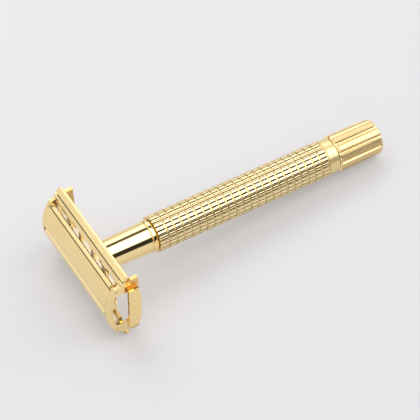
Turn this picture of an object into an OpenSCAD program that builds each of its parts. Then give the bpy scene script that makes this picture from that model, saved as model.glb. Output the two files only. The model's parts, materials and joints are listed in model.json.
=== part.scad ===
// Twist-to-open double-edge safety razor, lying on its head and its knob.
// Each piece is drawn standing on its own axis: X runs along the head,
// Y across it, and Z is minus the depth below the crown of the head.

/* [Head] */
// Length of each door along the head
door_len = 37.6; // [36:0.1:38]
// Radius of the arched top of the doors
door_r = 17.6; // [17.2:0.1:18.2]
// Sheet thickness of the doors
door_t = 0.9; // [0.7:0.05:1]
// Half width of the head at the crease of a door
crease_y = 8.75; // [8.7:0.05:8.8]
// Distance of a door pivot from the middle plane
pivot_y = 8.6; // [8.5:0.05:8.65]
// Depth of a door pivot below the crown
pivot_a = 3.3; // [3.25:0.05:3.35]
// Length of each guard bar
guard_len = 40.4; // [40:0.1:41]
// Distance of a guard bar's round edge from the middle plane
guard_y = 12.6; // [12.4:0.05:12.7]
// Radius of a guard bar's round edge
guard_r = 0.6; // [0.5:0.05:0.65]
// Distance between the outer plates of the two end caps
head_len = 43.5; // [43.2:0.1:44]

/* [Handle] */
// Depth at which the neck meets the collar
neck_end = 24.5; // [23:0.1:26]
// Outer radius of the neck under the head
neck_r0 = 4.45; // [4.3:0.05:4.7]
// Outer radius of the neck at the collar
neck_r1 = 4.95; // [4.8:0.05:5.1]
// Outer radius of the grip over its pads
grip_r = 5.8; // [5.7:0.05:6]
// Depth of the grooves of the grip
grip_cut = 0.42; // [0.3:0.02:0.5]
// Number of pads around the grip
grip_ribs = 24; // [18:2:30]
// Number of ring grooves along the grip
grip_rings = 22; // [18:1:23]
// Pitch of the ring grooves
ring_pitch = 2.617; // [2.5:0.001:2.64]
// Width of a ring groove
ring_w = 0.56; // [0.4:0.02:0.8]

/* [Knob] */
// Outer radius of the knob
knob_r = 6; // [5.8:0.05:6.2]
// Number of flutes around the knob
knob_flutes = 12; // [10:1:16]
// Depth at the flat end of the knob
knob_end = 107.2; // [104:0.1:110]
// How far the drive rod rises while the doors open
lift = 4.6; // [4:0.1:4.8]

/* [Hidden] */
$fn = 64;
eps = 0.01;
// Running clearance of a pin or shaft in its hole
run = 0.05;
wall_in = 19.0;
wall_out = guard_len / 2;
plate_out = head_len / 2;
plate_t = 0.75;
plate_y = 8.1;
floor_top = 4.5;
floor_bot = 5.4;
floor_y = 11.45;
// Angle of the guard bar's flat, from the plane of the guard plate
bar_slope = 44.5;
pin_r = 0.45;
hub_r = 0.85;
hub_x0 = 17.5;
hub_x1 = 18.4;
arm_x = 14.6;
arm_w = 1.2;
arm_y = 4.2;
bar_top = 3.0;
bar_bot = 4.4;
bar_y = 1.3;
bar_len = 36.4;
wing_y = 4.8;
wing_a = 5.2;
end_y = 5.3;
end_x = 12.3;
rod_r = 2.0;
tail_r = 1.2;
bore_r = 3.05;
core_r = 3.6;
collar_end = neck_end + 1.8;
grip_end = collar_end + 60.9;
first_ring = collar_end + 3.2;
ring_start = grip_end + 0.3;
ring_end = ring_start + 3.4;
ring_r = 5.5;
knob_start = ring_end + 0.25;
knob_in = knob_end - 4.2;
sleeve_start = 62;
rod_end = 80;
clip_a = 83.3;
bush_start = 84.1;
guard_a = 6.95;
rim_r = knob_r - 0.12;
rim_a = knob_end - 1.5;
// Tilt that lets the guard bar and the rim of the knob touch one plane
tilt_0 = asin((guard_y + guard_r - rim_r) / (rim_a - guard_a));
tilt = asin(((guard_y - rim_r) * cos(tilt_0) + guard_r) / (rim_a - guard_a));
low = guard_y * cos(tilt) + guard_a * sin(tilt) + guard_r;
front = door_r * (cos(tilt) - 1);
back = knob_end * cos(tilt) + (knob_r - 1.5) * sin(tilt);
mid = (front + back) / 2;
GOLD = [0.91, 0.77, 0.48];
STEEL = [0.72, 0.72, 0.74];

// Lays a piece down: the handle points along +Y and the head lies at -Y.
module placed() {
    translate([0, -mid, low])
        rotate([90 - tilt, 0, 0])
            children();
}

// A section in Y and Z, drawn out to a length along X and centred on X = 0.
module along_x(length) {
    rotate([90, 0, 90])
        linear_extrude(length, center = true)
            children();
}

// A round bar on the handle's axis from depth a0 to depth a1.
module shaft(a0, a1, r) {
    translate([0, 0, -a1])
        cylinder(h = a1 - a0, r = r);
}

// A tube on the handle's axis from depth a0 to depth a1.
module tube(a0, a1, r_out, r_in) {
    difference() {
        shaft(a0, a1, r_out);
        shaft(a0 - eps, a1 + eps, r_in);
    }
}

// The two halves of a mirrored pair across the middle plane.
module both_y() {
    children();
    mirror([0, 1, 0])
        children();
}

// The two halves of a mirrored pair along the head.
module both_x() {
    children();
    mirror([1, 0, 0])
        children();
}

// ---------------------------------------------------------------- head

// Section of the guard plate on the +Y side: floor and the slope to the bar.
module guard_section() {
    polygon([
        [0, -floor_top], [10.4, -floor_top], [floor_y, -4.98],
        [floor_y + 0.15, -5.13], [floor_y + 0.15, -6.5],
        [10.9, -6.1], [9.5, -floor_bot], [0, -floor_bot]
    ]);
}

// Section of the turned-down guard bar: a flat that ends in a round edge.
module bead_section() {
    across = guard_r * sin(bar_slope);
    deep = guard_r * cos(bar_slope);
    polygon([
        [floor_y, -4.98], [guard_y + across, -guard_a + deep],
        [guard_y - across, -guard_a - deep], [floor_y, -6.65]
    ]);
    translate([guard_y, -guard_a])
        circle(r = guard_r);
}

// A slot through the gutter, from x0 to x1.
module slot(x0, x1) {
    translate([x0, 6.9, -floor_bot - 1])
        cube([x1 - x0, 3.3, 3]);
}

module guard_plate() {
    color(GOLD)
        difference() {
            union() {
                both_y() {
                    along_x(2 * wall_in)
                        guard_section();
                    along_x(guard_len)
                        bead_section();
                    both_x()
                        translate([wall_in - 1, 7.3, -floor_bot])
                            cube([wall_out - wall_in + 1, 1.3, floor_bot - floor_top]);
                }
            }
            both_y() {
                slot(-3.0, 3.0);
                both_x() {
                    slot(4.6, 9.3);
                    slot(12.0, 17.2);
                }
            }
            both_x()
                translate([end_x, -end_y, -floor_bot - 1])
                    cube([wall_in - end_x + 1, 2 * end_y, 3]);
            shaft(floor_top - 1, floor_bot + 1, 3.8);
        }
}

// Outline of an end wall on the +Y side, with its shoulder and its horn.
module wall_outline() {
    intersection() {
        translate([0, -door_r - 0.3])
            circle(r = door_r, $fn = 128);
        translate([0, -5])
            square([9.6, 5]);
    }
    polygon([
        [0, -4.0], [9.6, -3.3], [9.8, -3.9], [10.2, -4.6],
        [floor_y, -5.05], [floor_y, -6.3], [9.3, -6.5],
        [11.1, -8.1], [11.25, -10.4], [6.5, -10.6], [0, -10.6]
    ]);
}

// The window under the arch, open to the inside of the head.
module wall_window() {
    intersection() {
        translate([0, -door_r - 2.0])
            circle(r = door_r, $fn = 128);
        translate([-6.4, -9.4])
            square([12.8, 9.4]);
    }
}

// One end cap at the +X end: end wall, two side legs and the outer plate.
module end_cap() {
    difference() {
        union() {
            translate([(wall_in + wall_out) / 2, 0, 0])
                along_x(wall_out - wall_in)
                    difference() {
                        both_y_2d()
                            wall_outline();
                        wall_window();
                    }
            both_y()
                translate([wall_out - eps, plate_y - 1.1, -10.0])
                    cube([plate_out - wall_out - plate_t + 2 * eps, 1.1, 3.0]);
            translate([plate_out - plate_t / 2, 0, 0])
                along_x(plate_t)
                    plate_outline();
        }
        both_y()
            translate([wall_in - 1, 7.3, -floor_bot])
                cube([wall_out - wall_in + 2, 1.3, floor_bot - floor_top]);
        both_y()
            translate([wall_in - 1, pivot_y, -pivot_a])
                rotate([0, 90, 0])
                    cylinder(h = 4, r = pin_r);
    }
}

module both_y_2d() {
    children();
    mirror([1, 0])
        children();
}

// The flat outer plate, with its two lower corners rounded.
module plate_outline() {
    union() {
        translate([-plate_y, -9.5])
            square([2 * plate_y, 3.0]);
        translate([-plate_y + 1, -10.5])
            square([2 * plate_y - 2, 1.1]);
        both_y_2d()
            translate([plate_y - 1, -9.5])
                circle(r = 1);
    }
}

module end_cap_right() {
    color(GOLD)
        end_cap();
}

module end_cap_left() {
    color(GOLD)
        mirror([1, 0, 0])
            end_cap();
}

module hinge_pins() {
    color(STEEL)
        both_x()
            both_y()
                translate([17.3, pivot_y, -pivot_a])
                    rotate([0, 90, 0])
                        cylinder(h = wall_out - 17.3, r = pin_r);
}

// Section of the +Y door: arched skin, crease and turned-down lip.
module door_section() {
    difference() {
        intersection() {
            translate([0, -door_r])
                circle(r = door_r, $fn = 128);
            translate([0.12, -4])
                square([crease_y - 0.12, 4]);
        }
        translate([0, -door_r])
            circle(r = door_r - door_t, $fn = 128);
    }
    polygon([
        [8.2, -2.6], [crease_y, -2.33], [9.17, -3.24], [8.95, -3.5],
        [8.6, -3.45], [8.0, -2.9]
    ]);
}

// The lever inside a door, from its hub to the tip over the centre bar.
module lever_section() {
    polygon([
        [arm_y, -3.5], [arm_y, -4.1], [pivot_y, -4.12], [pivot_y, -2.9],
        [7.6, -2.55], [6.9, -2.3], [6.4, -3.2]
    ]);
}

module door() {
    difference() {
        union() {
            difference() {
                along_x(door_len)
                    door_section();
                both_x()
                    translate([door_len / 2, 0, -5])
                        rotate([0, 0, 35])
                            translate([-1.6, -3, 0])
                                cube([6, 3.75, 8]);
            }
            both_x() {
                translate([(hub_x0 + hub_x1) / 2, 0, 0])
                    along_x(hub_x1 - hub_x0) {
                        translate([pivot_y, -pivot_a])
                            circle(r = hub_r);
                        polygon([
                            [pivot_y - hub_r, -pivot_a], [pivot_y, -pivot_a],
                            [pivot_y, -2.5], [pivot_y - hub_r, -2.5]
                        ]);
                    }
                translate([arm_x, 0, 0])
                    along_x(arm_w)
                        lever_section();
            }
        }
        translate([0, pivot_y, -pivot_a])
            rotate([0, 90, 0])
                cylinder(h = 60, r = pin_r + run, center = true);
    }
}

module door_upper() {
    color(GOLD)
        door();
}

module door_lower() {
    color(GOLD)
        mirror([0, 1, 0])
            door();
}

// ------------------------------------------------------- lifting pieces

// The bar that carries the blade, with wings under the levers of the doors.
module centre_bar() {
    color(GOLD)
        difference() {
            union() {
                translate([-bar_len / 2, -bar_y, -bar_bot])
                    cube([bar_len, 2 * bar_y, bar_bot - bar_top]);
                shaft(bar_top, bar_bot, 2.6);
                both_x()
                    translate([arm_x - 1.6, -wing_y, -wing_a])
                        cube([3.2, 2 * wing_y, wing_a - bar_bot + eps]);
            }
            shaft(bar_top - 1, bar_bot + 1, tail_r);
            both_x()
                translate([9.5, 0, -bar_bot - 1])
                    cylinder(h = 3, r = 0.6);
        }
}

// Two headed studs riveted through the bar.
module blade_studs() {
    color(STEEL)
        both_x()
            translate([9.5, 0, 0]) {
                translate([0, 0, -bar_top])
                    cylinder(h = 1.3, r = 1.0);
                translate([0, 0, -bar_bot])
                    cylinder(h = bar_bot - bar_top, r = 0.6);
            }
}

// The drive rod, whose tail is riveted over on top of the bar.
module drive_rod() {
    color(STEEL)
        union() {
            translate([0, 0, -rod_end])
                cylinder(h = rod_end - bar_bot - 0.8, r = rod_r);
            shaft(bar_top - 0.1, bar_bot + 0.9, tail_r);
            shaft(bar_top - 0.5, bar_top, 1.7);
        }
}

// The shouldered collar between the bar and the rod.
module rod_collar() {
    color(STEEL)
        tube(bar_bot, bar_bot + 0.8, 2.4, tail_r);
}

// -------------------------------------------------------------- handle

module neck() {
    color(GOLD)
        rotate_extrude()
            polygon([
                [2.6, -floor_top], [3.8, -floor_top], [3.8, -floor_bot],
                [neck_r0 + 0.9, -floor_bot], [neck_r0 + 0.9, -floor_bot - 0.5],
                [neck_r0, -floor_bot - 1.6], [neck_r1, -neck_end],
                [core_r, -neck_end], [core_r, -neck_end - 9],
                [bore_r, -neck_end - 9], [bore_r, -8], [2.6, -7.5]
            ]);
}

module rod_guide_bush() {
    color(STEEL)
        tube(9, 19, bore_r, rod_r + run);
}

module collar_ring() {
    color(GOLD)
        rotate_extrude()
            polygon([
                [core_r, -neck_end], [4.9, -neck_end], [5.2, -neck_end - 0.3],
                [5.2, -neck_end - 1.3], [4.95, -collar_end], [core_r, -collar_end]
            ]);
}

// One turn of pads: a ring of flat-topped teeth with sharp grooves between.
module pad_row(a0, a1) {
    step = 360 / grip_ribs;
    points = [
        for (i = [0:grip_ribs - 1], k = [-1, 1, 2])
            let (
                angle = step * i + (k == 2 ? step / 2 : k * step * 0.31),
                r = k == 2 ? grip_r - grip_cut : grip_r
            )
            [r * cos(angle), r * sin(angle)]
    ];
    translate([0, 0, -a1])
        linear_extrude(a1 - a0)
            polygon(points);
}

module grip_barrel() {
    color(GOLD)
        difference() {
            union() {
                shaft(collar_end, grip_end, grip_r - grip_cut - 0.03);
                pad_row(collar_end + 0.15, first_ring - ring_w / 2);
                for (i = [0:grip_rings - 2])
                    pad_row(
                        first_ring + ring_pitch * i + ring_w / 2,
                        first_ring + ring_pitch * (i + 1) - ring_w / 2
                    );
                pad_row(
                    first_ring + ring_pitch * (grip_rings - 1) + ring_w / 2,
                    grip_end - 0.15
                );
            }
            shaft(collar_end - 1, grip_end + 1, core_r);
        }
}

// The bush that closes the barrel and carries the turning sleeve.
module barrel_end_bush() {
    color(GOLD)
        rotate_extrude()
            polygon([
                [bore_r + run, -bush_start], [core_r, -bush_start], [core_r, -grip_end],
                [5.2, -grip_end], [5.2, -ring_start], [ring_r, -ring_start - 0.1],
                [ring_r, -ring_end], [bore_r + run, -ring_end]
            ]);
}

module thrust_washer() {
    color(STEEL)
        tube(ring_end, ring_end + 0.15, 4.9, bore_r + run);
}

// ---------------------------------------------------------------- knob

module knob_shell() {
    color(GOLD)
        difference() {
            rotate_extrude()
                polygon([
                    [0, -knob_start], [5.55, -knob_start], [knob_r, -knob_start - 0.5],
                    [rim_r, -rim_a], [knob_r - 0.55, -knob_end + 0.45],
                    [knob_r - 1.5, -knob_end], [0, -knob_end]
                ]);
            shaft(knob_start - 1, knob_in, bore_r);
            shaft(knob_end - 1.2, knob_end + 1, 3.6);
            shaft(knob_in - 1, knob_end, 1.0);
            for (i = [0:knob_flutes - 1])
                rotate([0, 0, 360 / knob_flutes * (i + 0.5)])
                    translate([knob_r + 0.2, 0, -knob_end - 1])
                        cylinder(h = knob_end - knob_start + 0.25, r = 0.75, $fn = 24);
            translate([0, 0, -knob_in + 3])
                rotate([90, 0, 0])
                    cylinder(h = 8.6, r = 0.6, center = true);
        }
}

// The inner sleeve, bored for the screw of the drive rod.
module knob_sleeve() {
    color(STEEL)
        difference() {
            shaft(sleeve_start, knob_in, bore_r);
            shaft(sleeve_start - 1, knob_in - 4, rod_r + run);
            tube(clip_a - 0.35, clip_a + 0.35, 5, 2.75);
            translate([0, 0, -knob_in + 3])
                rotate([90, 0, 0])
                    cylinder(h = 8.6, r = 0.6, center = true);
        }
}

// The open clip that keeps the sleeve from pulling out of the bush.
module retaining_clip() {
    color(STEEL)
        difference() {
            tube(clip_a - 0.35, clip_a + 0.35, 3.45, 2.75);
            translate([-0.9, 0, -clip_a - 1])
                cube([1.8, 6, 2]);
        }
}

// The cross pin that locks the knob to its sleeve.
module knob_pin() {
    color(STEEL)
        translate([0, 0, -knob_in + 3])
            rotate([90, 0, 0])
                cylinder(h = 8.6, r = 0.6, center = true);
}

module knob_end_plug() {
    color(GOLD)
        union() {
            shaft(knob_end - 1.2, knob_end, 3.6);
            shaft(knob_in, knob_end - 1.2, 1.0);
        }
}

placed() guard_plate();
placed() end_cap_left();
placed() end_cap_right();
placed() hinge_pins();
placed() door_upper();
placed() door_lower();
placed() centre_bar();
placed() blade_studs();
placed() drive_rod();
placed() rod_collar();
placed() neck();
placed() rod_guide_bush();
placed() collar_ring();
placed() grip_barrel();
placed() barrel_end_bush();
placed() thrust_washer();
placed() knob_shell();
placed() knob_sleeve();
placed() retaining_clip();
placed() knob_pin();
placed() knob_end_plug();
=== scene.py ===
import json
import math

import bmesh
import bpy
from mathutils import Matrix, Vector


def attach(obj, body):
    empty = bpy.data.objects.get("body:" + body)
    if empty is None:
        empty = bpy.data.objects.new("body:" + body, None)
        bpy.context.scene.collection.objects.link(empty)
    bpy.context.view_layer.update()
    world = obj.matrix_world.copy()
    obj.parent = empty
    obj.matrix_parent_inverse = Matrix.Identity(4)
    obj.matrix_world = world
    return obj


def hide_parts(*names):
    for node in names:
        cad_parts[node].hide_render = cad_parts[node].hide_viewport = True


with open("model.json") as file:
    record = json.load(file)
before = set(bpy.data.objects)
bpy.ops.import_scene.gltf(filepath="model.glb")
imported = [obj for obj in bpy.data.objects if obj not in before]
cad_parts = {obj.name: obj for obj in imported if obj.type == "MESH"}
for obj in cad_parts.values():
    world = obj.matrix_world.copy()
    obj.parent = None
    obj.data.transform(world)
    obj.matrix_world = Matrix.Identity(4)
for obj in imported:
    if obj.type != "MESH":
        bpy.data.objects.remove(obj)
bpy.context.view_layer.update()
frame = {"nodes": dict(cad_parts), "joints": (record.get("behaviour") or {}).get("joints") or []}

# ------------------------------------------------------------ dimensions (mm)
# doors
DOOR_HALF = 18.95  # half their length
DOOR_R = 17.6  # radius of the crown
DOOR_T = 0.9
SPLIT_Y = 0.14  # half the gap between the two doors
CREASE_Y = 8.75
PIVOT_Y, PIVOT_A = 8.6, 3.3
HUB_R = 0.85
# guard plate: the floor, the bars with their round outer edge, and the slots
FLOOR_TOP, FLOOR_BOT, FLOOR_Y = 4.5, 5.4, 11.45
EDGE_Y, EDGE_A, EDGE_R = 12.6, 6.95, 0.6
BAR_HALF = 20.2
FLOOR_DIP, BAR_SLOPE, BAR_BACK_SLOPE = 20.0, 47.5, 44.5  # degrees from the floor
SLOT_Y0, SLOT_Y1 = 6.9, 10.2
SLOT_SPANS = ((-3.0, 3.0), (4.6, 9.3), (-9.3, -4.6), (12.0, 17.2), (-17.2, -12.0))
END_X, END_Y = 12.3, 5.3  # cut-outs at the ends of the plate
HUB_HOLE_R = 3.8
# end caps
WALL_IN, WALL_OUT = 19.0, 20.2
PLATE_OUT, PLATE_T, PLATE_Y = 21.75, 0.75, 8.1
HORN_A = 6.5  # the horns start at this depth
# handle
CORE_R, BORE_R = 3.6, 3.05
NECK_R0, NECK_R1, NECK_END = 4.45, 4.95, 24.5
COLLAR_END = 26.3
GRIP_END, GRIP_R, GRIP_CUT = 87.2, 5.8, 0.42
RIBS, RINGS, FIRST_RING, RING_PITCH, RING_W = 24, 22, 29.5, 2.617, 0.56
BUSH_START, BUSH_END, BUSH_R = 87.5, 91.02, 5.5
KNOB_START, KNOB_END, KNOB_R = 91.15, 107.2, 6.0
FLUTES, FLUTE_R, FLUTE_CENTRE = 12, 0.90, KNOB_R + 0.35
PLUG_R = 3.62
KNOB_JOINT_A = 95.0  # depth of the knob's joint below the crown

# ------------------------------------------------------------ placement
# Pieces are drawn in millimetres on the handle's own axes: x along the head, y across it and
# z = -a, where a is the depth below the crown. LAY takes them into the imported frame.
MM = 0.001
turn = {joint["name"]: joint for joint in frame["joints"]}["knob_turn"]
UP = Vector(turn["axis"]).normalized()
SIDE = Vector((1.0, 0.0, 0.0))
ACROSS = UP.cross(SIDE)
CROWN = Vector(turn["pos_m"]) + UP * KNOB_JOINT_A * MM
AXES = Matrix((SIDE, ACROSS, UP)).transposed()
LAY = Matrix.Translation(CROWN) @ AXES.to_4x4() @ Matrix.Scale(MM, 4)


# ------------------------------------------------------------ materials
def node_material(name):
    mat = bpy.data.materials.new(name)
    mat.use_nodes = True
    return mat, mat.node_tree, mat.node_tree.nodes["Principled BSDF"]


def pattern(tree, kind, scale, detail, **inputs):
    """A texture of that kind on the object's own coordinates."""
    coord = tree.nodes.new("ShaderNodeTexCoord")
    texture = tree.nodes.new(kind)
    texture.inputs["Scale"].default_value = scale
    texture.inputs["Detail"].default_value = detail
    for name, value in inputs.items():
        texture.inputs[name].default_value = value
    tree.links.new(coord.outputs["Object"], texture.inputs["Vector"])
    return texture


def two_tone(tree, value, dark, light, start=0.0, end=1.0):
    ramp = tree.nodes.new("ShaderNodeValToRGB")
    dark_stop, light_stop = ramp.color_ramp.elements
    dark_stop.position, light_stop.position = start, end
    dark_stop.color, light_stop.color = (*dark, 1), (*light, 1)
    tree.links.new(value, ramp.inputs["Fac"])
    return ramp.outputs["Color"]


def rescaled(tree, value, low, high, from_low=0.0, from_high=1.0):
    node = tree.nodes.new("ShaderNodeMapRange")
    limits = {"From Min": from_low, "From Max": from_high, "To Min": low, "To Max": high}
    for name, limit in limits.items():
        node.inputs[name].default_value = limit
    tree.links.new(value, node.inputs["Value"])
    return node.outputs["Result"]


def add_relief(tree, bsdf, height, strength, distance):
    node = tree.nodes.new("ShaderNodeBump")
    node.inputs["Strength"].default_value = strength
    node.inputs["Distance"].default_value = distance
    tree.links.new(height, node.inputs["Height"])
    tree.links.new(node.outputs["Normal"], bsdf.inputs["Normal"])


def gold_material(name, tint=(1.0, 0.78, 0.385), rough=0.10, spread=0.05, bump=0.02):
    """Gold plate: uneven gloss, faint colour drift and a very fine plated skin."""
    mat, tree, bsdf = node_material(name)
    bsdf.inputs["Metallic"].default_value = 1.0
    red, green, blue = tint
    dark, light = (red * 0.97, green * 0.95, blue * 0.90), (red, green * 1.01, blue * 1.05)
    drift = pattern(tree, "ShaderNodeTexNoise", 70.0, 4.0).outputs["Fac"]
    tree.links.new(two_tone(tree, drift, dark, light, 0.3, 0.7), bsdf.inputs["Base Color"])
    smear = pattern(tree, "ShaderNodeTexNoise", 260.0, 6.0, Roughness=0.65).outputs["Fac"]
    gloss = rescaled(tree, smear, rough, rough + spread, 0.35, 0.75)
    tree.links.new(gloss, bsdf.inputs["Roughness"])
    skin = pattern(tree, "ShaderNodeTexNoise", 900.0, 3.0).outputs["Fac"]
    add_relief(tree, bsdf, skin, bump, 0.0002)
    return mat


def steel_material(name):
    """Turned steel: fine tool marks round the axis and an uneven sheen."""
    mat, tree, bsdf = node_material(name)
    bsdf.inputs["Metallic"].default_value = 1.0
    marks = pattern(tree, "ShaderNodeTexWave", 900.0, 2.0, Distortion=1.5)
    marks.bands_direction = "Y"
    marks = marks.outputs["Fac"]
    tone = two_tone(tree, marks, (0.46, 0.46, 0.48), (0.62, 0.62, 0.63))
    tree.links.new(tone, bsdf.inputs["Base Color"])
    haze = pattern(tree, "ShaderNodeTexNoise", 400.0, 2.0).outputs["Fac"]
    tree.links.new(rescaled(tree, haze, 0.22, 0.42), bsdf.inputs["Roughness"])
    add_relief(tree, bsdf, marks, 0.08, 0.0001)
    return mat


GOLD_DOOR = gold_material("gold_doors", rough=0.09)
GOLD_HEAD = gold_material("gold_head", rough=0.10)
GOLD_NECK = gold_material("gold_neck", rough=0.05, spread=0.03, bump=0.01)
GOLD_GRIP = gold_material("gold_grip", (0.98, 0.79, 0.43), rough=0.17, spread=0.06, bump=0.01)
# Painted shade: the floors of the ring grooves get a darker, duller gold than the pads.
GOLD_RING_SHADE = gold_material("gold_ring_grooves_painted_shade", (0.78, 0.62, 0.31), rough=0.38, spread=0.10)
GOLD_BUSH = gold_material("gold_knob", (0.90, 0.73, 0.38), rough=0.38, spread=0.06, bump=0.01)
GOLD_FLUTES = gold_material("gold_flutes", (0.79, 0.60, 0.305), rough=0.36, spread=0.06, bump=0.01)
# Painted shade: a near-black gold darkens the lengthwise grooves between the ribs.
GOLD_GROOVE_SHADE = gold_material("gold_groove_painted_shade", (0.15, 0.095, 0.04), rough=0.28, spread=0.10)
# Painted light: a paler gold that brightens the shaded door insides, the plate's floor and the slot sides; it
# is also rougher.
GOLD_SATIN_PAINTED_LIGHT = gold_material("gold_satin_painted_light", (1.0, 0.92, 0.74), rough=0.50, spread=0.10, bump=0.03)
# Painted shade: a darker gold for hidden and recessed faces: the levers, the cut-out walls and the cap
# between wall and plate.
GOLD_INSIDE_SHADE = gold_material("gold_inside_painted_shade", (0.62, 0.42, 0.17), rough=0.30, spread=0.12, bump=0.04)
# Painted shade: a darker, more orange gold for the horns below HORN_A.
GOLD_HORN_SHADE = gold_material("gold_horns_painted_shade", (0.84, 0.56, 0.22), rough=0.20, spread=0.08, bump=0.03)
STEEL = steel_material("turned_steel")


# ------------------------------------------------------------ mesh tools
def make_object(name, bm, material):
    mesh = bpy.data.meshes.new(name)
    bm.to_mesh(mesh)
    bm.free()
    obj = bpy.data.objects.new(name, mesh)
    bpy.context.scene.collection.objects.link(obj)
    obj.data.materials.append(material)
    return obj


def settle(obj):
    """Turns the modifiers of a piece into mesh."""
    graph = bpy.context.evaluated_depsgraph_get()
    mesh = bpy.data.meshes.new_from_object(obj.evaluated_get(graph))
    obj.modifiers.clear()
    old = obj.data
    obj.data = mesh
    bpy.data.meshes.remove(old)


def smooth(obj):
    for face in obj.data.polygons:
        face.use_smooth = True
    mod = obj.modifiers.new("normals", "WEIGHTED_NORMAL")
    mod.keep_sharp = True
    mod.weight = 60
    settle(obj)


def bevel(obj, width, segments, angle):
    mod = obj.modifiers.new("bevel", "BEVEL")
    mod.width = width
    mod.segments = segments
    mod.limit_method = "ANGLE"
    mod.angle_limit = math.radians(angle)
    mod.use_clamp_overlap = True
    mod.miter_outer = "MITER_ARC"
    settle(obj)


def boolean(obj, bm, operation="DIFFERENCE"):
    """Cuts the shape out of the object, or joins it on."""
    other = make_object("tool", bm, obj.data.materials[0])
    mod = obj.modifiers.new("boolean", "BOOLEAN")
    mod.operation = operation
    mod.solver = "EXACT"
    mod.object = other
    settle(obj)
    bpy.data.objects.remove(other)


def paint(obj, material, chosen):
    """Gives the material to the faces that the test chooses."""
    obj.data.materials.append(material)
    index = len(obj.data.materials) - 1
    for face in obj.data.polygons:
        if chosen(face):
            face.material_index = index


def mirror(obj, axis):
    obj.data.transform(Matrix.Scale(-1, 4, axis))
    obj.data.flip_normals()


def lay_down(obj, body, node):
    obj.data.transform(LAY)
    obj.data.update()
    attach(obj, body)
    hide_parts(node)


def prism(points, x0, x1, bm=None):
    """A closed prism along x whose section is the loop of (y, a) points."""
    bm = bm or bmesh.new()
    ends = [[bm.verts.new((x, y, -a)) for y, a in points] for x in (x0, x1)]
    n = len(points)
    bm.faces.new(list(reversed(ends[0])))
    bm.faces.new(ends[1])
    for i in range(n):
        j = (i + 1) % n
        bm.faces.new((ends[0][i], ends[0][j], ends[1][j], ends[1][i]))
    bmesh.ops.recalc_face_normals(bm, faces=bm.faces)
    return bm


def block(x0, x1, y0, y1, a0, a1, bm=None):
    return prism([(y0, a0), (y1, a0), (y1, a1), (y0, a1)], x0, x1, bm)


def loft(rings, closed=False):
    """Joins rings of vertices with quads; a ring of one vertex is a point."""
    bm = bmesh.new()
    rings = [[bm.verts.new(place) for place in ring] for ring in rings]
    n = max(len(ring) for ring in rings)
    pairs = list(zip(rings, rings[1:]))
    if closed:
        pairs.append((rings[-1], rings[0]))
    for one, two in pairs:
        for k in range(n):
            m = (k + 1) % n
            corners = (one[k % len(one)], one[m % len(one)], two[m % len(two)], two[k % len(two)])
            corners = list(dict.fromkeys(corners))
            if len(corners) > 2:
                bm.faces.new(corners)
    bmesh.ops.recalc_face_normals(bm, faces=bm.faces)
    return bm


def spaced(first, last, steps):
    return [first + (last - first) * i / steps for i in range(steps + 1)]


def arc(cy, ca, r, start, end, steps):
    """Points of a circle in (y, a); angles in degrees, 0 towards +y and 90 towards the crown."""
    angles = [math.radians(angle) for angle in spaced(start, end, steps)]
    return [(cy + r * math.cos(t), ca - r * math.sin(t)) for t in angles]


def curve(start, corner, end, steps):
    """A soft corner: leaves start towards the corner and reaches end from it."""
    start, corner, end = Vector(start), Vector(corner), Vector(end)
    return [tuple(start * (1 - t) ** 2 + corner * 2 * t * (1 - t) + end * t * t) for t in spaced(0, 1, steps)]


def rounded(points, radius, steps=4):
    """Rounds the corners of an open (r, a) profile."""
    out = [points[0]]
    for before, corner, after in zip(points, points[1:], points[2:]):
        corner = Vector(corner)
        back, on = Vector(before) - corner, Vector(after) - corner
        cut = min(radius, back.length * 0.45, on.length * 0.45)
        out += curve(corner + back.normalized() * cut, corner, corner + on.normalized() * cut, steps)
    out.append(points[-1])
    return out


def polar(r, angle, a):
    """A place on the handle; the angle is in degrees."""
    t = math.radians(angle)
    return r * math.cos(t), r * math.sin(t), -a


def lathe(profile, segments):
    """A closed shape of revolution about the handle's axis, from (r, a) points."""
    rings = []
    for r, a in profile:
        on_axis = r < 1e-6
        rings.append([polar(r, 360 * k / segments, a) for k in range(1 if on_axis else segments)])
    return loft(rings, closed=len(rings[0]) > 1)


def mirrored(points):
    """The whole section from its +y half, which starts and ends on y = 0."""
    return points + [(-y, a) for y, a in reversed(points) if y > 1e-6]


def crown_a(y, drop=0.0):
    """Depth of the crown's arc at y, or of an arc that far below it."""
    r = DOOR_R - drop
    return DOOR_R - math.sqrt(r * r - y * y)


# ------------------------------------------------------------ doors
def door_lines():
    """The upper door's section: the outer line from the split to the lip, and the inner line back."""
    arc_start, arc_end = 0.80, 8.12
    lip_start, lip_end = (8.91, 2.67), (9.17, 3.24)
    split_edge = [(SPLIT_Y, 0.66), (0.16, 0.57)]
    chamfer = [(0.20, 0.50), (0.33, 0.348), (0.46, 0.195), (0.57, 0.068), (0.65, 0.020)]
    outer = split_edge + chamfer
    outer += [(y, crown_a(y)) for y in spaced(arc_start, arc_end, 30)[:-1]]
    outer += curve((arc_end, crown_a(arc_end)), (CREASE_Y, crown_a(CREASE_Y)), lip_start, 12)
    outer += [lip_end, (8.95, 3.5), (PIVOT_Y, 3.45)]
    inner = [(y, crown_a(y, DOOR_T)) for y in spaced(8.0, SPLIT_Y, 16)]
    return outer, inner


def door_half_length(y):
    """The door's corners beside the split are rounded off."""
    corner_y, corner_x = 1.9, 1.2
    if y >= corner_y:
        return DOOR_HALF
    t = (corner_y - y) / (corner_y - SPLIT_Y)
    return DOOR_HALF - corner_x * (1 - math.sqrt(max(0.0, 1 - t * t)))


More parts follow.
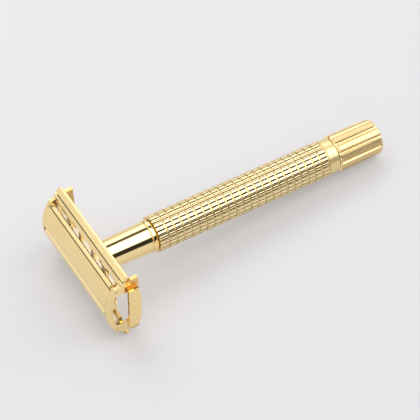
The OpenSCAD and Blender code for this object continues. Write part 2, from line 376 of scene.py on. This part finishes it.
def fill_strip(bm, outer, inner):
    """Fills the strip between two lines of vertices that run the same way, from -y to +y."""
    lead = 0.25
    i = j = 0
    while i < len(outer) - 1 or j < len(inner) - 1:
        outer_left, inner_left = i < len(outer) - 1, j < len(inner) - 1
        if not inner_left or (outer_left and outer[i + 1].co.y <= inner[j + 1].co.y + lead):
            bm.faces.new((outer[i], outer[i + 1], inner[j]))
            i += 1
        else:
            bm.faces.new((outer[i], inner[j + 1], inner[j]))
            j += 1


def door_skin(name):
    outer, inner = door_lines()
    section = outer + inner
    bm = bmesh.new()
    ends = [[bm.verts.new((side * door_half_length(y), y, -a)) for y, a in section] for side in (-1, 1)]
    for i in range(len(section)):
        j = (i + 1) % len(section)
        bm.faces.new((ends[0][i], ends[0][j], ends[1][j], ends[1][i]))
    for end in ends:
        fill_strip(bm, end[: len(outer)], list(reversed(end[len(outer):])))
    bmesh.ops.recalc_face_normals(bm, faces=bm.faces)
    skin = make_object(name, bm, GOLD_DOOR)
    bevel(skin, 0.09, 3, 42)
    # painted light: the door's inner faces get the paler, rougher gold
    paint(skin, GOLD_SATIN_PAINTED_LIGHT, lambda face: face.normal.z < -0.3)
    return skin


def door_levers(name):
    """The hubs and the levers under the door's skin."""
    hub = [(PIVOT_Y - HUB_R, 2.4), (PIVOT_Y, 2.4)] + arc(PIVOT_Y, PIVOT_A, HUB_R, 80, -180, 22)
    lever = [(4.2, 3.5), (4.2, 4.1), (PIVOT_Y, 4.12), (PIVOT_Y, 2.9), (7.6, 2.55), (6.9, 2.3), (6.4, 3.2)]
    bm = bmesh.new()
    for side in (-1, 1):
        prism(hub, side * 17.5, side * 18.4, bm)
        prism(lever, side * 14.0, side * 15.2, bm)
    # painted shade: the levers under the skin get the darker gold
    levers = make_object(name, bm, GOLD_INSIDE_SHADE)
    bevel(levers, 0.08, 2, 40)
    return levers


def door(name, side, body, node):
    for obj in (door_skin(name), door_levers(name + "_levers")):
        if side < 0:
            mirror(obj, (0, 1, 0))
        smooth(obj)
        lay_down(obj, body, node)


door("door_upper_skin", 1, "upper_door", "door_upper")
door("door_lower_skin", -1, "lower_door", "door_lower")


# ------------------------------------------------------------ guard plate
def floor_line():
    """The upper line of the plate: flat, a dip towards the bar, then a soft bend down to its slope."""
    bend_y, bend_a, bend_r = 11.25, 4.953, 1.8
    dip = math.radians(FLOOR_DIP)
    middle_y, middle_a = bend_y - bend_r * math.sin(dip), bend_a + bend_r * math.cos(dip)
    flat = [(9.8, FLOOR_TOP), (10.0, FLOOR_TOP + 0.018), (10.2, FLOOR_TOP + 0.07)]
    return flat + arc(middle_y, middle_a, bend_r, 90 - FLOOR_DIP, 90 - BAR_SLOPE, 8)


def bar_end(section, side, x0, x1):
    """The bar's end beside the wall; its tip is rounded off towards the section's first point."""
    tip_x, shrink = 0.6, 0.40
    first_y, first_a = section[0]
    bm = prism([(side * y, a) for y, a in section], x0, x1)
    lengthwise = [edge for edge in bm.edges if abs(edge.verts[0].co.x - edge.verts[1].co.x) > 1]
    bmesh.ops.subdivide_edges(bm, edges=lengthwise, cuts=6)
    for vert in bm.verts:
        t = (abs(vert.co.x) - BAR_HALF + tip_x) / tip_x
        if t > 0:
            pull = shrink * (1 - math.sqrt(max(0.0, 1 - t * t)))
            vert.co.y += (side * first_y - vert.co.y) * pull
            vert.co.z += (-first_a - vert.co.z) * pull
    return bm


def guard_cutters():
    """The slots in the gutters and the cut-outs at both ends."""
    top, bottom = 3.5, 6.5
    bm = bmesh.new()
    for x0, x1 in SLOT_SPANS:
        for y0, y1 in ((SLOT_Y0, SLOT_Y1), (-SLOT_Y1, -SLOT_Y0)):
            block(x0, x1, y0, y1, top, bottom, bm)
    for x0, x1 in ((END_X, WALL_IN + 1), (-WALL_IN - 1, -END_X)):
        block(x0, x1, -END_Y, END_Y, top, bottom, bm)
    return bm


def on_flat_floor(face):
    return face.normal.z > 0.99 and face.center.z > -FLOOR_BOT


def on_slot_side(face):
    x, y, _ = face.center
    return abs(face.normal.y) > 0.9 and 6.5 < abs(y) < SLOT_Y1 + 0.1 and abs(x) < 17.5


def on_cut_wall(face):
    return abs(face.normal.z) < 0.3 and abs(face.center.y) < END_Y + 0.2


def guard_plate():
    line = floor_line()
    round_edge = arc(EDGE_Y, EDGE_A, EDGE_R, 90 - BAR_SLOPE, -90 - BAR_BACK_SLOPE, 24)
    underside = [(FLOOR_Y, 6.65), (10.9, 6.1), (9.5, FLOOR_BOT), (0, FLOOR_BOT)]
    section = mirrored([(0, FLOOR_TOP)] + line + round_edge + underside)
    plate = make_object("guard_floor", prism(section, -WALL_IN, WALL_IN), GOLD_HEAD)
    bar = line[-2:] + round_edge + [(FLOOR_Y + 0.2, 6.8)]
    overlap = 0.2
    for side in (1, -1):
        boolean(plate, bar_end(bar, side, WALL_IN - overlap, BAR_HALF), "UNION")
        boolean(plate, bar_end(bar, side, -BAR_HALF, overlap - WALL_IN), "UNION")
    boolean(plate, guard_cutters())
    boolean(plate, lathe([(0, 3.0), (HUB_HOLE_R, 3.0), (HUB_HOLE_R, 7.0), (0, 7.0)], 64))
    bevel(plate, 0.10, 3, 35)
    # painted light: the flat floor and the slot sides get the paler, rougher gold
    paint(plate, GOLD_SATIN_PAINTED_LIGHT, lambda face: on_flat_floor(face) or on_slot_side(face))
    # painted shade: the cut-out walls get the darker gold
    paint(plate, GOLD_INSIDE_SHADE, on_cut_wall)
    return plate


def guard_tenons():
    """Four tenons that hold the plate in the walls of the end caps."""
    bm = bmesh.new()
    for side in (-1, 1):
        for y0, y1 in ((7.3, 8.6), (-8.6, -7.3)):
            block(side * (WALL_IN - 0.5), side * (WALL_OUT - 0.1), y0, y1, FLOOR_TOP, FLOOR_BOT, bm)
    tenons = make_object("guard_tenons", bm, GOLD_HEAD)
    bevel(tenons, 0.06, 2, 40)
    return tenons


for piece in (guard_plate(), guard_tenons()):
    smooth(piece)
    lay_down(piece, "razor", "guard_plate")


# ------------------------------------------------------------ end caps
def window_cutter():
    """An arched window that opens out towards the inside."""
    half, bottom, top_drop = 6.4, 9.4, 2.0
    top = [(y, top_drop + crown_a(y)) for y in spaced(0, half, 12)]
    bm = prism(mirrored(top + [(half, bottom)]), WALL_IN - 0.3, WALL_OUT + 0.3)
    for vert in bm.verts:
        if vert.co.x < WALL_IN:
            vert.co.y *= 1.13
            vert.co.z *= 0.94 if vert.co.z > -6 else 1.03
    return bm


def outer_plate():
    round_y, round_a, round_from = 3.6, 2.5, 8.0
    corner = [(PLATE_Y - 0.9, 6.5), (PLATE_Y - 0.3, 6.6), (PLATE_Y, 6.95)]
    for t in (math.radians(angle) for angle in spaced(3, 87, 14)):
        corner.append((PLATE_Y - round_y * (1 - math.cos(t)), round_from + round_a * math.sin(t)))
    return prism(mirrored(corner), PLATE_OUT - PLATE_T, PLATE_OUT)


def plate_leg(side):
    """The leg between the wall and the outer plate; its outer face climbs towards the plate."""
    y0, y1 = sorted((side * (PLATE_Y - 1.1), side * (PLATE_Y - 0.02)))
    bm = block(WALL_OUT - 0.3, PLATE_OUT - 0.3, y0, y1, 7.0, 10.0)
    for vert in bm.verts:
        if vert.co.x < PLATE_OUT - 1 and abs(vert.co.y) > PLATE_Y - 0.5:
            vert.co.y -= side * 0.75
    return bm


def cut_faces(obj, z):
    """Splits the faces at this height, so that they can be painted apart."""
    bm = bmesh.new()
    bm.from_mesh(obj.data)
    geometry = bm.verts[:] + bm.edges[:] + bm.faces[:]
    bmesh.ops.bisect_plane(bm, geom=geometry, plane_co=(0, 0, z), plane_no=(0, 0, 1))
    bm.to_mesh(obj.data)
    bm.free()


def end_cap(name, side, node):
    wall_face, plate_back = WALL_OUT + 0.02, PLATE_OUT - PLATE_T + 0.02
    arch = [(y, 0.05 + crown_a(y)) for y in spaced(0, 9.6, 24)]
    horn = [(9.8, 3.9), (10.2, 4.6), (FLOOR_Y, 5.06), (FLOOR_Y, 6.3), (9.3, HORN_A),
            (11.1, 8.1), (11.25, 10.4), (6.5, 10.6), (0, 10.6)]
    cap = make_object(name, prism(mirrored(arch + horn), WALL_IN, WALL_OUT), GOLD_HEAD)
    boolean(cap, window_cutter())
    boolean(cap, outer_plate(), "UNION")
    for leg_side in (1, -1):
        boolean(cap, plate_leg(leg_side), "UNION")
    bevel(cap, 0.22, 4, 35)
    cut_faces(cap, -HORN_A)
    # painted shade: the faces between the wall and the outer plate get the darker gold
    paint(cap, GOLD_INSIDE_SHADE, lambda face: wall_face < face.center.x < plate_back)
    # painted shade: the wall below the horns' depth gets the darker orange gold
    paint(cap, GOLD_HORN_SHADE, lambda face: face.center.z < -HORN_A and face.center.x < wall_face)
    if side < 0:
        mirror(cap, (1, 0, 0))
    smooth(cap)
    lay_down(cap, "razor", node)


end_cap("end_cap_right_form", 1, "end_cap_right")
end_cap("end_cap_left_form", -1, "end_cap_left")


# ------------------------------------------------------------ neck, collar and end bush
def turned(name, profile, body, node, material, segments=160):
    obj = make_object(name, lathe(profile, segments), material)
    smooth(obj)
    lay_down(obj, body, node)


flange_r = NECK_R0 + 0.9
spigot_end = NECK_END + 9
neck_outside = rounded([
    (HUB_HOLE_R, FLOOR_TOP), (HUB_HOLE_R, FLOOR_BOT), (flange_r, FLOOR_BOT), (flange_r, FLOOR_BOT + 0.5),
    (NECK_R0, FLOOR_BOT + 1.6), (NECK_R1, NECK_END), (CORE_R, NECK_END), (CORE_R, spigot_end),
], 0.12)
neck_inside = [(BORE_R, spigot_end), (BORE_R, 8.0), (2.6, 7.5)]
turned("neck_tube", [(2.6, FLOOR_TOP)] + neck_outside + neck_inside, "razor", "neck", GOLD_NECK)

turned("collar_bead", rounded([
    (CORE_R, NECK_END), (4.9, NECK_END), (5.2, NECK_END + 0.3), (5.2, NECK_END + 1.3),
    (4.95, COLLAR_END), (CORE_R, COLLAR_END),
], 0.2), "razor", "collar_ring", GOLD_NECK)

turned("barrel_end_ring", rounded([
    (BORE_R + 0.05, 84.1), (CORE_R, 84.1), (CORE_R, GRIP_END), (5.2, GRIP_END), (5.2, BUSH_START),
    (BUSH_R, BUSH_START + 0.1), (BUSH_R, BUSH_END), (BORE_R + 0.05, BUSH_END),
], 0.1), "razor", "barrel_end_bush", GOLD_BUSH)


# ------------------------------------------------------------ grip
RIB_STEP = 360 / RIBS
# places across a rib, as shares of the step from its middle; past PAD_EDGE lies the groove
PAD_EDGE = 0.38
RIB_PLACES = (-0.38, -0.34, -0.28, -0.18, -0.06, 0.06, 0.18, 0.28, 0.34, PAD_EDGE, 0.44, 0.5, 0.56)


def rib_sink(place):
    """How deep the surface lies across a rib: 0 on the pad's middle, 1 in the groove."""
    if abs(place) <= PAD_EDGE:
        return 0.26 * (place / PAD_EDGE) ** 2
    return 0.62 if place < 0.49 else 1.0


def ring_rows():
    """Rows (a, sink) along the barrel: sink is 0 on the pads and 1 in the ring grooves."""
    pad_end = ((0.0, 1.0), (0.04, 0.30), (0.12, 0.08), (0.30, 0.0))
    edges = [COLLAR_END + 0.12]
    for i in range(RINGS):
        middle = FIRST_RING + RING_PITCH * i
        edges += [middle - RING_W * 0.4, middle + RING_W * 0.4]
    edges.append(GRIP_END - 0.12)
    rows = [(COLLAR_END, 1.0)]
    for start, end in zip(edges[::2], edges[1::2]):
        rows += [(start + d, sink) for d, sink in pad_end]
        rows.append(((start + end) / 2, 0.0))
        rows += [(end - d, sink) for d, sink in reversed(pad_end)]
    return rows + [(GRIP_END, 1.0)]


def in_ring_groove(a):
    ring = round((a - FIRST_RING) / RING_PITCH)
    return 0 <= ring < RINGS and abs(a - FIRST_RING - ring * RING_PITCH) <= RING_W * 0.4


def grip():
    """The barrel's skin: its radius drops in the ring grooves and between the ribs."""
    places = [(RIB_STEP * (i + place), rib_sink(place)) for i in range(RIBS) for place in RIB_PLACES]
    rings = []
    for a, ring_sink in ring_rows():
        rings.append([polar(GRIP_R - GRIP_CUT * max(ring_sink, sink), angle, a) for angle, sink in places])
    for a in (GRIP_END, COLLAR_END):
        rings.append([polar(CORE_R, angle, a) for angle, _ in places])
    obj = make_object("grip_pads", loft(rings, closed=True), GOLD_GRIP)
    verts = obj.data.vertices
    groove_r = GRIP_R - GRIP_CUT + 0.01

    def on_groove_floor(face):
        radii = [verts[i].co.xy.length for i in face.vertices]
        return max(radii) < groove_r and min(radii) > CORE_R + 0.5

    def on_lengthwise_groove(face):
        share = math.degrees(math.atan2(face.center.y, face.center.x)) / RIB_STEP % 1
        upright = len({round(verts[i].co.z, 4) for i in face.vertices}) > 1
        outside = upright and face.center.xy.length > 5.0
        return outside and 0.37 < share < 0.63 and not in_ring_groove(-face.center.z)

    # painted shade: the floors of the ring grooves are darkened
    paint(obj, GOLD_RING_SHADE, on_groove_floor)
    # painted shade: the lengthwise grooves are darkened nearly to black
    paint(obj, GOLD_GROOVE_SHADE, on_lengthwise_groove)
    smooth(obj)
    lay_down(obj, "razor", "grip_barrel")


grip()


# ------------------------------------------------------------ knob
FLUTE_STEP = 360 / FLUTES


def ramp(value, start, width):
    """0 before start, 1 after start + width, with a soft corner."""
    t = min(1.0, max(0.0, (value - start) / width))
    return t * t * (3 - 2 * t)


def fluted(r, angle, a):
    """The knob's radius with the flutes cut in; they start just behind its front face."""
    start, fade = KNOB_START + 0.14, 0.25
    off = (angle - FLUTE_STEP / 2) % FLUTE_STEP
    t = math.radians(min(off, FLUTE_STEP - off))
    reach = FLUTE_CENTRE * math.sin(t)
    if a <= start or r <= 4.7 or reach >= FLUTE_R:
        return r
    flute_floor = FLUTE_CENTRE * math.cos(t) - math.sqrt(FLUTE_R ** 2 - reach ** 2)
    return r - max(0.0, r - flute_floor) * ramp(a, start, fade)


def flute_angles():
    """Angles round the knob, close together where a flute meets the surface."""
    edge = math.degrees(math.asin(0.84 / KNOB_R))
    gap = FLUTE_STEP - 2 * edge
    in_flute = (-1.0, -0.92, -0.7, -0.45, -0.2, 0.0, 0.2, 0.45, 0.7, 0.92, 1.0)
    between = (0.04, 0.12, 0.3, 0.5, 0.7, 0.88, 0.96)
    angles = []
    for i in range(FLUTES):
        middle = FLUTE_STEP * (i + 0.5)
        angles += [middle + edge * share for share in in_flute]
        angles += [middle + edge + gap * share for share in between]
    return angles


def knob_profile():
    shell = rounded([
        (BORE_R, KNOB_START), (5.35, KNOB_START), (KNOB_R, KNOB_START + 0.7), (KNOB_R - 0.17, KNOB_END - 0.6),
        (KNOB_R - 0.50, KNOB_END), (KNOB_R - 1.4, KNOB_END), (PLUG_R, KNOB_END),
    ], 0.3, 5)
    dense = [(0.0, KNOB_START)]
    for (r0, a0), (r1, a1) in zip(shell, shell[1:]):
        dense.append((r0, a0))
        if a0 < KNOB_END - 1 and a1 - a0 > 0.1:
            dense += [(r0 + (r1 - r0) * t, a0 + (a1 - a0) * t) for t in spaced(0, 1, 6)[1:-1]]
    recess_a = KNOB_END - 0.35
    return dense + [shell[-1], (PLUG_R, recess_a), (0.0, recess_a)]


def knob():
    angles = flute_angles()
    rings = []
    for r, a in knob_profile():
        rings.append([polar(fluted(r, angle, a), angle, a) for angle in angles] if r else [(0, 0, -a)])
    obj = make_object("knob_fluted", loft(rings), GOLD_FLUTES)
    # the shoulder beside the ring is polished
    paint(obj, GOLD_NECK, lambda face: face.center.z > -KNOB_START - 0.6)
    smooth(obj)
    lay_down(obj, "knob", "knob_shell")


knob()

disc_r, disc_start, disc_end = PLUG_R - 0.04, KNOB_END - 1.2, KNOB_END - 0.02
turned("knob_plug_disc", rounded([
    (0.0, disc_start), (disc_r, disc_start), (disc_r, disc_end), (0.0, disc_end),
], 0.15), "knob", "knob_end_plug", GOLD_FLUTES, 96)

# ------------------------------------------------------------ carried-over CAD nodes
GOLD_NODES = ("hinge_pins", "centre_bar")
STEEL_NODES = ("blade_studs", "drive_rod", "rod_collar", "rod_guide_bush", "thrust_washer",
               "knob_sleeve", "retaining_clip", "knob_pin")
for node_name in GOLD_NODES + STEEL_NODES:
    for slot in frame["nodes"][node_name].material_slots:
        slot.material = GOLD_HEAD if node_name in GOLD_NODES else STEEL


# ------------------------------------------------------------ table
def table_material():
    mat, tree, bsdf = node_material("pale_table")
    cloud = pattern(tree, "ShaderNodeTexNoise", 3.0, 2.0).outputs["Fac"]
    tone = two_tone(tree, cloud, (0.345, 0.340, 0.345), (0.365, 0.360, 0.365))
    tree.links.new(tone, bsdf.inputs["Base Color"])
    bsdf.inputs["Roughness"].default_value = 0.6
    # a lit table: the light that comes through it keeps the shadows pale
    bsdf.inputs["Emission Color"].default_value = (0.99, 0.975, 0.985, 1)
    bsdf.inputs["Emission Strength"].default_value = 0.265
    return mat


table_mesh = bmesh.new()
bmesh.ops.create_grid(table_mesh, x_segments=8, y_segments=8, size=3.0)
make_object("table_top", table_mesh, table_material())

# ------------------------------------------------------------ studio
# A white tent round the table. The dark gaps between its panels run parallel to the row's y axis,
# so they draw the long dark lines that polished round metal shows along the handle.
FRONT_PANELS = [  # degrees above the +x horizon, brightness: what the handle mirrors
    (0, 0.62), (2, 0.50), (4, 0.04), (31, 0.03), (34, 0.20), (37, 1.2), (41, 2.7), (90, 2.7), (95, 1.6),
    (99, 0.14), (114, 0.10), (119, 0.7), (124, 2.1), (146, 1.8), (154, 1.05), (165, 0.80), (180, 0.62),
]
BACK_PANELS = [  # the same for the half of the tent behind the head, by height alone
    (0, 0.60), (2, 0.50), (5, 0.03), (15.5, 0.03), (18.5, 0.7), (22, 1.05), (32, 1.10), (45, 1.05), (90, 1.0),
]


def panels(tree, stops, angle):
    ramp_node = tree.nodes.new("ShaderNodeValToRGB")
    elements = ramp_node.color_ramp.elements
    elements.remove(elements[1])
    for i, (degrees, brightness) in enumerate(stops):
        element = elements[0] if i == 0 else elements.new(degrees / 180)
        element.position = degrees / 180
        element.color = (brightness, brightness, brightness, 1)
    tree.links.new(rescaled(tree, angle, 0.0, 1.0, 0.0, math.pi), ramp_node.inputs["Fac"])
    return ramp_node.outputs["Color"]


def calculated(tree, operation, *inputs):
    node = tree.nodes.new("ShaderNodeMath")
    node.operation = operation
    for socket, value in zip(node.inputs, inputs):
        tree.links.new(value, socket)
    return node.outputs[0]


def tent_colour(tree):
    """The front panels by their angle round the y axis, the back panels by their height."""
    coord = tree.nodes.new("ShaderNodeTexCoord")
    axes = tree.nodes.new("ShaderNodeSeparateXYZ")
    tree.links.new(coord.outputs["Generated"], axes.inputs["Vector"])
    x, y, z = axes.outputs
    front = panels(tree, FRONT_PANELS, calculated(tree, "ARCTAN2", z, x))
    back = panels(tree, BACK_PANELS, calculated(tree, "ARCSINE", z))
    half = tree.nodes.new("ShaderNodeMapRange")
    half.interpolation_type = "SMOOTHSTEP"
    half.inputs["From Min"].default_value = -0.05
    half.inputs["From Max"].default_value = 0.15
    tree.links.new(y, half.inputs["Value"])
    blend = tree.nodes.new("ShaderNodeMix")
    blend.data_type = "RGBA"
    tree.links.new(half.outputs["Result"], blend.inputs["Factor"])
    tree.links.new(back, blend.inputs["A"])
    tree.links.new(front, blend.inputs["B"])
    return blend.outputs["Result"]


def studio_world():
    """The tent lights the object; the camera itself sees a plain pale backdrop."""
    world = bpy.data.worlds.new("studio")
    bpy.context.scene.world = world
    world.use_nodes = True
    tree = world.node_tree
    tree.nodes.clear()
    tent = tree.nodes.new("ShaderNodeBackground")
    tree.links.new(tent_colour(tree), tent.inputs["Color"])
    plain = tree.nodes.new("ShaderNodeBackground")
    plain.inputs["Color"].default_value = (0.80, 0.78, 0.80, 1)
    path = tree.nodes.new("ShaderNodeLightPath")
    pick = tree.nodes.new("ShaderNodeMixShader")
    tree.links.new(path.outputs["Is Camera Ray"], pick.inputs["Fac"])
    tree.links.new(tent.outputs["Background"], pick.inputs[1])
    tree.links.new(plain.outputs["Background"], pick.inputs[2])
    out = tree.nodes.new("ShaderNodeOutputWorld")
    tree.links.new(pick.outputs["Shader"], out.inputs["Surface"])


def add_to_scene(name, data):
    obj = bpy.data.objects.new(name, data)
    bpy.context.scene.collection.objects.link(obj)
    return obj


def key_light():
    """A soft light from the left (metres, in the row frame), kept out of the reflections."""
    place, target = Vector((-0.55, -0.05, 0.75)), Vector((0, 0, 0.01))
    data = bpy.data.lights.new("key", "AREA")
    data.shape = "SQUARE"
    data.size = 0.55
    data.energy = 3.0
    light = add_to_scene("key", data)
    light.location = place
    light.rotation_euler = (target - place).to_track_quat("-Z", "Y").to_euler()
    light.visible_glossy = False


studio_world()
key_light()

# ------------------------------------------------------------ camera
# In the handle's own axes: x, y and depth a in mm; the roll is from upright, in degrees.
CAMERA_AT = (289.91, 385.58, -133.78)
CAMERA_AIM = (0.30, -0.22, 46.66)
CAMERA_ROLL = 1.01
SENSOR, LENS = 36.0, 145.2


def in_frame(x, y, a):
    return SIDE * x + ACROSS * y - UP * a


def camera():
    place = in_frame(*CAMERA_AT)
    back = (place - in_frame(*CAMERA_AIM)).normalized()
    right = ACROSS.cross(back).normalized()
    right.rotate(Matrix.Rotation(math.radians(CAMERA_ROLL), 3, back))
    data = bpy.data.cameras.new("camera")
    data.sensor_width, data.lens = SENSOR, LENS
    data.clip_start, data.clip_end = 0.01, 20
    cam = add_to_scene("camera", data)
    axes = Matrix((right, back.cross(right), back)).transposed()
    cam.matrix_world = Matrix.Translation(CROWN + place * MM) @ axes.to_4x4()
    bpy.context.scene.camera = cam


camera()
bpy.context.scene.view_settings.view_transform = "Standard"
